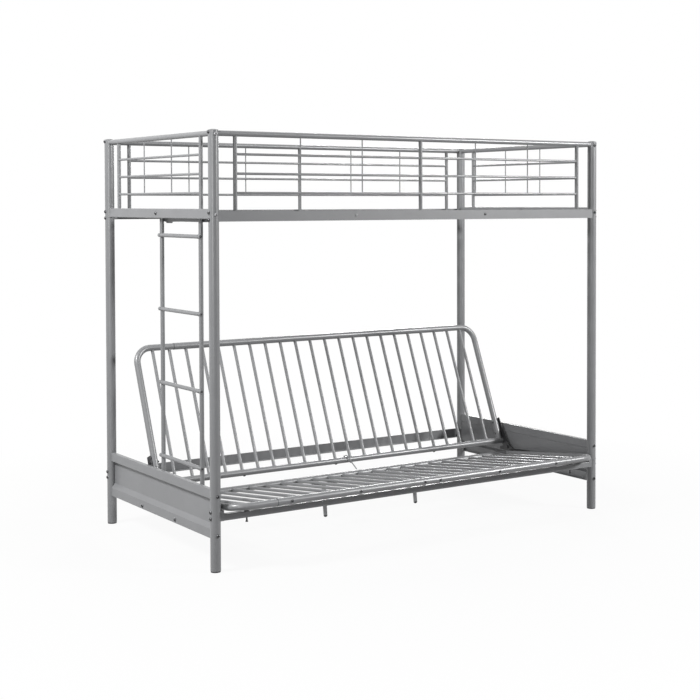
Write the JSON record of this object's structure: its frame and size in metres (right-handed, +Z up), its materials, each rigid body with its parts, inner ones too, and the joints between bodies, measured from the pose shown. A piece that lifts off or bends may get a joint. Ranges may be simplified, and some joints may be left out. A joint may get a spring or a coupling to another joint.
{
  "type": "sofa to bunk bed",
  "caption": "Steel bunk bed: a guarded upper bunk on four posts, a ladder inside one end, and a slatted sofa below that slides forward and folds flat into a bed.",
  "frame": {"origin": "on the floor under the middle of the whole outline, sofa folded up", "axes": "+X along the bed, ladder at the -X end; +Y from the front towards the wall side; +Z up"},
  "size_m": [1.9902, 1.1251, 1.706],
  "materials": {
    "silver_steel": "silver grey powder coat, satin",
    "black_steel": "black, satin",
    "black_plastic": "black moulded plastic",
    "nylon": "dark nylon"
  },
  "bodies": {
    "bunk": {"post_front_left": "silver_steel", "post_front_right": "silver_steel", "post_rear_left": "silver_steel", "post_rear_right": "silver_steel", "post_caps": "silver_steel", "post_feet": "black_plastic", "guard_top_rail_front": "silver_steel", "guard_top_rail_rear": "silver_steel", "guard_top_rail_left": "silver_steel", "guard_top_rail_right": "silver_steel", "guard_uprights_front": "silver_steel", "guard_uprights_rear": "silver_steel", "guard_uprights_left": "silver_steel", "guard_uprights_right": "silver_steel", "guard_bars_front": "silver_steel", "guard_bars_rear": "silver_steel", "guard_bars_left": "silver_steel", "guard_bars_right": "silver_steel", "guard_wires": "silver_steel", "upper_side_rail_front": "silver_steel", "upper_side_rail_rear": "silver_steel", "upper_end_rail_left": "silver_steel", "upper_end_rail_right": "silver_steel", "mattress_centre_bar": "silver_steel", "mattress_cross_bars": "silver_steel", "mattress_slats": "silver_steel", "ladder_stile_front": "silver_steel", "ladder_stile_rear": "silver_steel", "ladder_rungs": "silver_steel", "ladder_hanger": "silver_steel", "lower_end_rail_left": "silver_steel", "lower_end_rail_right": "silver_steel", "end_sheet_left": "silver_steel", "end_sheet_right": "silver_steel", "lower_front_rail": "silver_steel", "lower_rear_rail": "silver_steel", "seat_track_left": "silver_steel", "seat_track_right": "silver_steel", "track_spacers": "black_steel", "seat_bumpers": "black_plastic", "frame_bolts": "black_steel"},
    "carriage": {"slide_blocks": "nylon"},
    "seat": {"seat_end_left": "silver_steel", "seat_end_right": "silver_steel", "seat_front_tube": "silver_steel", "seat_rear_tube": "silver_steel", "seat_slats": "silver_steel", "seat_brackets": "black_steel", "seat_bolts": "black_steel", "pivot_bolts": "black_steel", "seat_legs": "silver_steel", "seat_leg_feet": "black_plastic"},
    "back": {"back_end_left": "silver_steel", "back_end_right": "silver_steel", "back_top_tube": "silver_steel", "back_bottom_tube": "silver_steel", "back_slats": "silver_steel", "back_brackets": "black_steel", "back_bolts": "black_steel", "back_link_wire": "silver_steel"}
  },
  "joints": [
    {"name": "seat_slide", "type": "slide", "parent": "bunk", "child": "carriage", "axis": [0, -0.9918, 0.1277], "range_m": [0, 0.22584]},
    {"name": "seat_tilt", "type": "hinge", "parent": "carriage", "child": "seat", "pos_m": [0, -0.20288, 0.21417], "axis": [1, 0, 0], "range_deg": [0, 6.75]},
    {"name": "back_recline", "type": "hinge", "parent": "seat", "child": "back", "pos_m": [0, 0.1081, 0.20757], "axis": [1, 0, 0], "range_deg": [-73.75, 0]}
  ],
  "couplings": [
    {"joint": "seat_tilt", "follows": "seat_slide", "rad_per_m": 0.52164},
    {"joint": "back_recline", "follows": "seat_slide", "rad_per_m": -5.6994}
  ]
}
